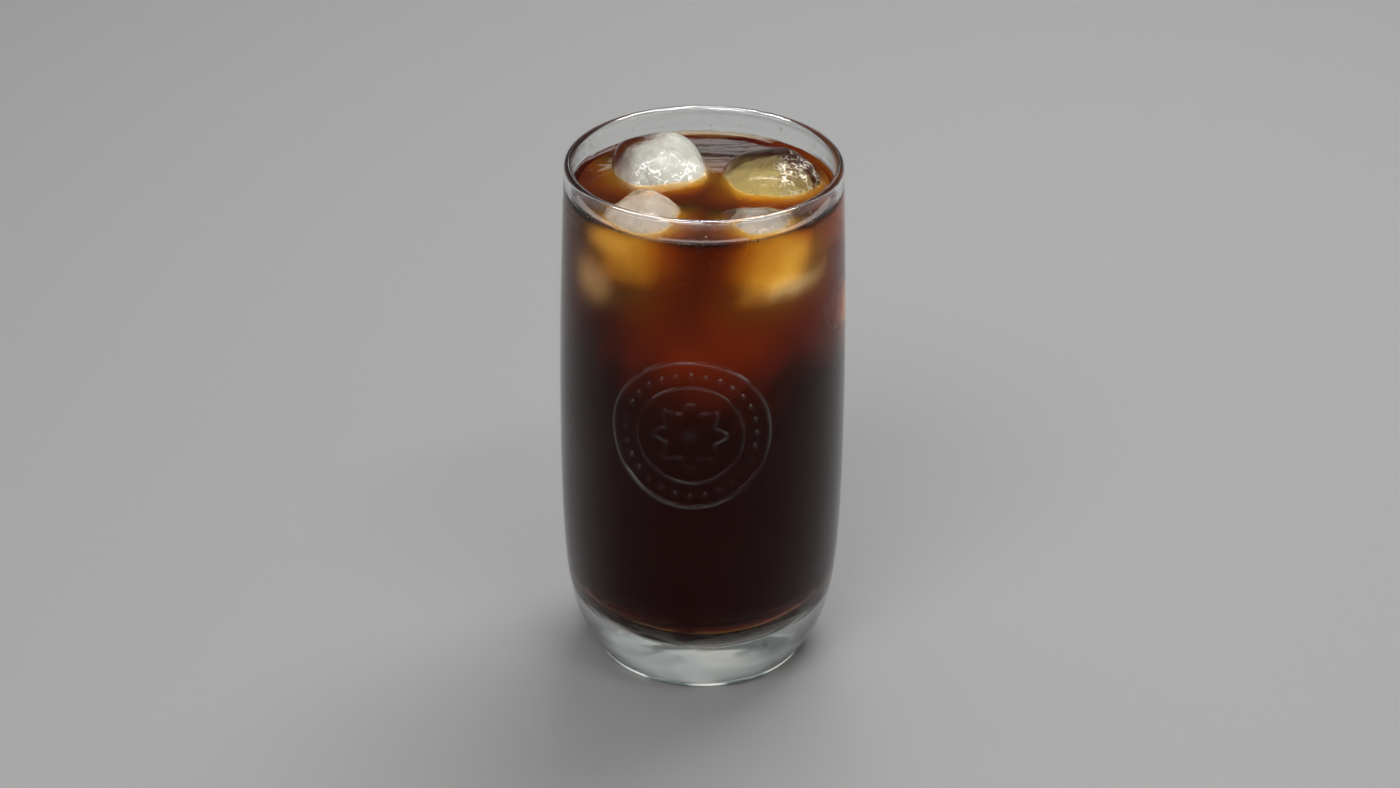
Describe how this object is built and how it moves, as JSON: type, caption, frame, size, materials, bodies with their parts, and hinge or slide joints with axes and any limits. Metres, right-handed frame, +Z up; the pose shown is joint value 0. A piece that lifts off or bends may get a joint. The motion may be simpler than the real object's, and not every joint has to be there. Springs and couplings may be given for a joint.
{
  "type": "iced americano in a highball glass",
  "caption": "Black iced coffee with rounded ice cubes breaking its surface, in a clear barrel-sided highball glass with a thick base.",
  "frame": {"origin": "middle of the glass's base, on the surface that it stands on", "axes": "+Z up along the glass's axis; -Y is the side with the moulded roundel, towards the viewer; +X is the viewer's right"},
  "size_m": [0.0714, 0.0714, 0.135],
  "materials": {
    "clear_glass": "polished clear soda-lime glass",
    "black_coffee": "wet, near-black red-brown coffee",
    "ice": "wet ice with a cloudy middle"
  },
  "bodies": {
    "root": {"glass": "clear_glass", "coffee": "black_coffee", "ice_back_left": "ice", "ice_back_right": "ice", "ice_front_left": "ice", "ice_front_right": "ice"}
  },
  "joints": []
}
